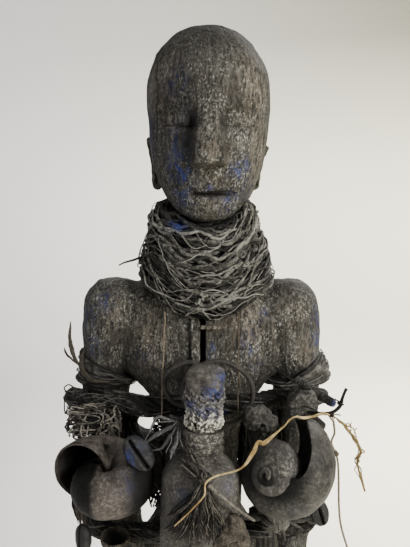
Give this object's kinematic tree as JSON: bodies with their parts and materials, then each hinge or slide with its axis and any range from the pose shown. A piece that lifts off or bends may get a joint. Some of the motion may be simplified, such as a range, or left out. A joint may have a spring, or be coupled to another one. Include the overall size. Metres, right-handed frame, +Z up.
{
  "type": "power figure",
  "caption": "Standing carved wood figure on a low base, its neck bound with fibre, with ropes that hold a stoppered bottle, snail shells, cowries, iron rings, pegs and root bundles to its front",
  "frame": {"origin": "centre of the flat underside of the base, where the figure stands", "axes": "+Z up along the figure, -Y the way it faces, +X the right-hand side of the picture"},
  "size_m": [0.2088, 0.1572, 0.619],
  "materials": {
    "carved_wood": "matte dark wood with grain, dust and patches of blue pigment",
    "dark_wood": "smoked dark wood",
    "fibre": "dusty wound plant fibre",
    "rope": "dark twisted bark rope",
    "bark_cloth": "stiff grey bark cloth",
    "crusted_glass": "glass hidden under a dull crust of earth",
    "stopper_crust": "pitted pale crust with blue pigment",
    "snail_shell": "dull darkened shell with pale specks",
    "cowrie_shell": "darkened cowrie shell",
    "iron": "dark oxidised iron wire",
    "packed_bark": "rough packed bark and earth",
    "root": "dry dark root",
    "crust": "tan earthen crust",
    "twine": "thin dark twine",
    "dry_leaf": "dry grey leaf",
    "raffia": "golden raffia"
  },
  "bodies": {
    "root": {"carved_figure": "carved_wood", "neck_binding": "fibre", "upper_rope": "rope", "lower_rope": "rope", "left_elbow_band": "bark_cloth", "right_elbow_band": "bark_cloth", "bottle": "crusted_glass", "bottle_stopper": "stopper_crust", "left_snail_shell": "snail_shell", "right_snail_shell": "snail_shell", "left_cowrie": "cowrie_shell", "right_cowrie": "cowrie_shell", "lower_left_cowrie": "cowrie_shell", "left_iron_ring": "iron", "right_iron_ring": "iron", "blue_tipped_peg": "dark_wood", "dark_peg": "dark_wood", "knotted_lump": "packed_bark", "left_fibre_wad": "fibre", "right_fibre_wad": "fibre", "bark_packet": "packed_bark", "left_root_tangle": "root", "root_tassel": "root", "crust_lump": "crust", "rimmed_cup": "cowrie_shell", "lower_knot": "packed_bark", "left_chest_slat": "dark_wood", "right_chest_slat": "dark_wood", "cross_bar": "dark_wood", "left_chest_twine": "twine", "right_chest_twine": "twine", "knotted_twig": "root", "leaf_blade": "dry_leaf", "leaf_scraps": "dry_leaf", "leaf_bundle": "dry_leaf", "neck_splinter": "dark_wood", "tassel_stick": "dark_wood", "raffia_ribbon": "raffia", "hanging_twine": "twine", "hanging_raffia": "raffia"}
  },
  "joints": []
}
